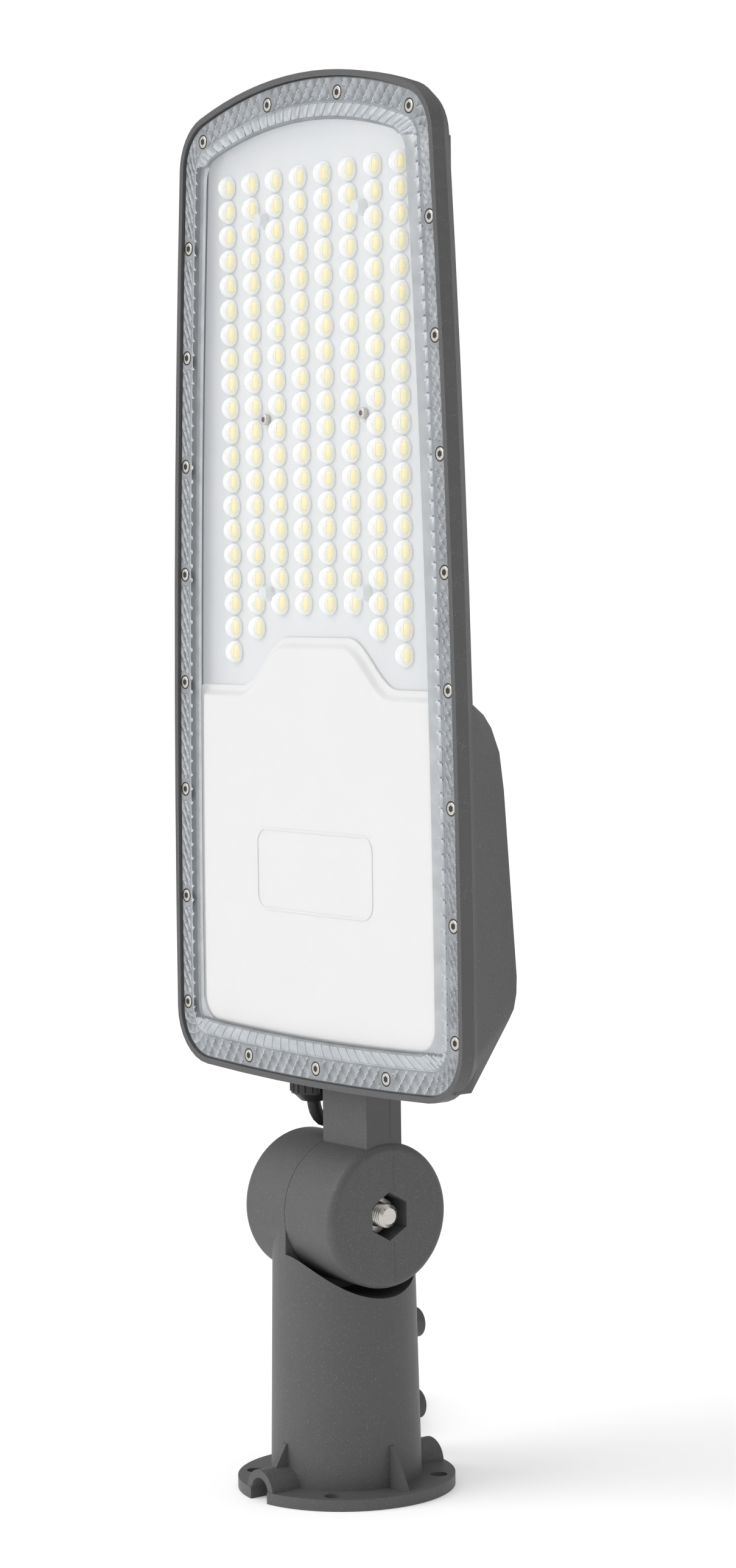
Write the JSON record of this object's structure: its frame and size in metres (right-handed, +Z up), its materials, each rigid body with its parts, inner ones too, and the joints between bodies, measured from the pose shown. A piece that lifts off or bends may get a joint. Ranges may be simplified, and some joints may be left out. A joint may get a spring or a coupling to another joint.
{
  "type": "street lamp",
  "caption": "Street lamp head with a clear lens cover and driver bulge, on a tilting knuckle and a pole socket with a wall flange.",
  "frame": {"origin": "centre of the mounting flange's bottom face, at the mouth of the pole socket", "axes": "+Z up along the socket and the head, -Y towards the lens side, +X along the knuckle's hinge axis towards the head's side"},
  "size_m": [0.3, 0.189, 0.716],
  "materials": {
    "powder_coat": "fine textured dark grey powder coat on die-cast aluminium",
    "stainless": "plain stainless steel",
    "brass": "plain brass",
    "black_rubber": "matte black rubber",
    "grey_silicone": "translucent grey silicone",
    "thermal_pad": "soft blue-grey silicone pad",
    "white_board": "white solder mask on an aluminium board",
    "led_phosphor": "yellow phosphor over light diodes",
    "clear_optic": "clear moulded optic plate",
    "frosted_nylon": "translucent white nylon",
    "driver_case": "plain aluminium case",
    "blue_case": "blue moulded case",
    "ivory_block": "ivory moulded block",
    "red_lead": "silicone-sheathed lead",
    "white_cover": "white moulded cover",
    "clear_cover": "clear polycarbonate",
    "black_nylon": "black moulded nylon",
    "cable_sheath": "black rubber sheath",
    "core_wire": "coloured core insulation"
  },
  "bodies": {
    "base": {"lower_knuckle": "powder_coat", "hinge_bolt": "stainless", "hinge_washers": "stainless", "hinge_nut": "stainless", "cable": "cable_sheath", "cable_hank": "cable_sheath", "cable_tie": "black_nylon", "cable_cores": "core_wire"},
    "head": {"upper_knuckle": "powder_coat", "neck_gasket": "black_rubber", "neck_bolts": "stainless", "housing": "powder_coat", "earth_screw": "brass", "thermal_pad": "thermal_pad", "led_board": "white_board", "leds": "led_phosphor", "lens_array": "clear_optic", "panel_screws": "stainless", "panel_posts": "frosted_nylon", "driver": "driver_case", "driver_screws": "stainless", "surge_protector": "blue_case", "terminal_block": "ivory_block", "led_leads": "red_lead", "driver_cover": "white_cover", "lens_gasket": "grey_silicone", "lens_cover": "clear_cover", "rim_screws": "stainless", "gland_locknut": "black_nylon", "gland_body": "black_nylon", "gland_seal": "black_rubber", "gland_nut": "black_nylon"},
    "lower_set_screw": {"set_screw_lower": "stainless"},
    "upper_set_screw": {"set_screw_upper": "stainless"}
  },
  "joints": [
    {"name": "head_tilt", "type": "hinge", "parent": "base", "child": "head", "pos_m": [0, 0, 0.1444], "axis": [1, 0, 0], "range_deg": [-15, 90], "deforming": ["cable"]},
    {"name": "lower_set_screw_travel", "type": "slide", "parent": "base", "child": "lower_set_screw", "axis": [0, -1, 0], "range_m": [0, 0.012]},
    {"name": "upper_set_screw_travel", "type": "slide", "parent": "base", "child": "upper_set_screw", "axis": [0, -1, 0], "range_m": [0, 0.012]}
  ]
}
